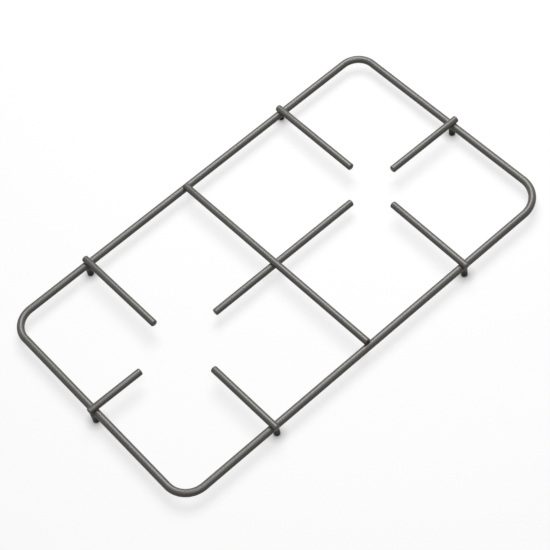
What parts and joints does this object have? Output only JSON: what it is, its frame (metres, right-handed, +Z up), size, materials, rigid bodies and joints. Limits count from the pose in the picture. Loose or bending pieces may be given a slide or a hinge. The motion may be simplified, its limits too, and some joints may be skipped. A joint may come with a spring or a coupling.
{
  "type": "stove grate",
  "caption": "Rectangular wire stove grate: a bent rod frame with a cross bar, a centre bar and straight fingers that hold pans over the burners, on short pin feet.",
  "frame": {"origin": "middle of the frame's plan, on the surface that the feet stand on", "axes": "+X along the long rails, +Y to the back rail, +Z up"},
  "size_m": [0.472, 0.2797, 0.0231],
  "materials": {
    "enamel": "dark grey satin enamel"
  },
  "bodies": {
    "root": {"frame_ring": "enamel", "cross_bar": "enamel", "centre_bar": "enamel", "finger_back_left": "enamel", "finger_back_right": "enamel", "finger_front_left": "enamel", "finger_front_right": "enamel", "finger_left": "enamel", "finger_right": "enamel", "foot_back_left": "enamel", "foot_back_right": "enamel", "foot_front_left": "enamel", "foot_front_right": "enamel", "foot_left": "enamel", "foot_right": "enamel"}
  },
  "joints": []
}
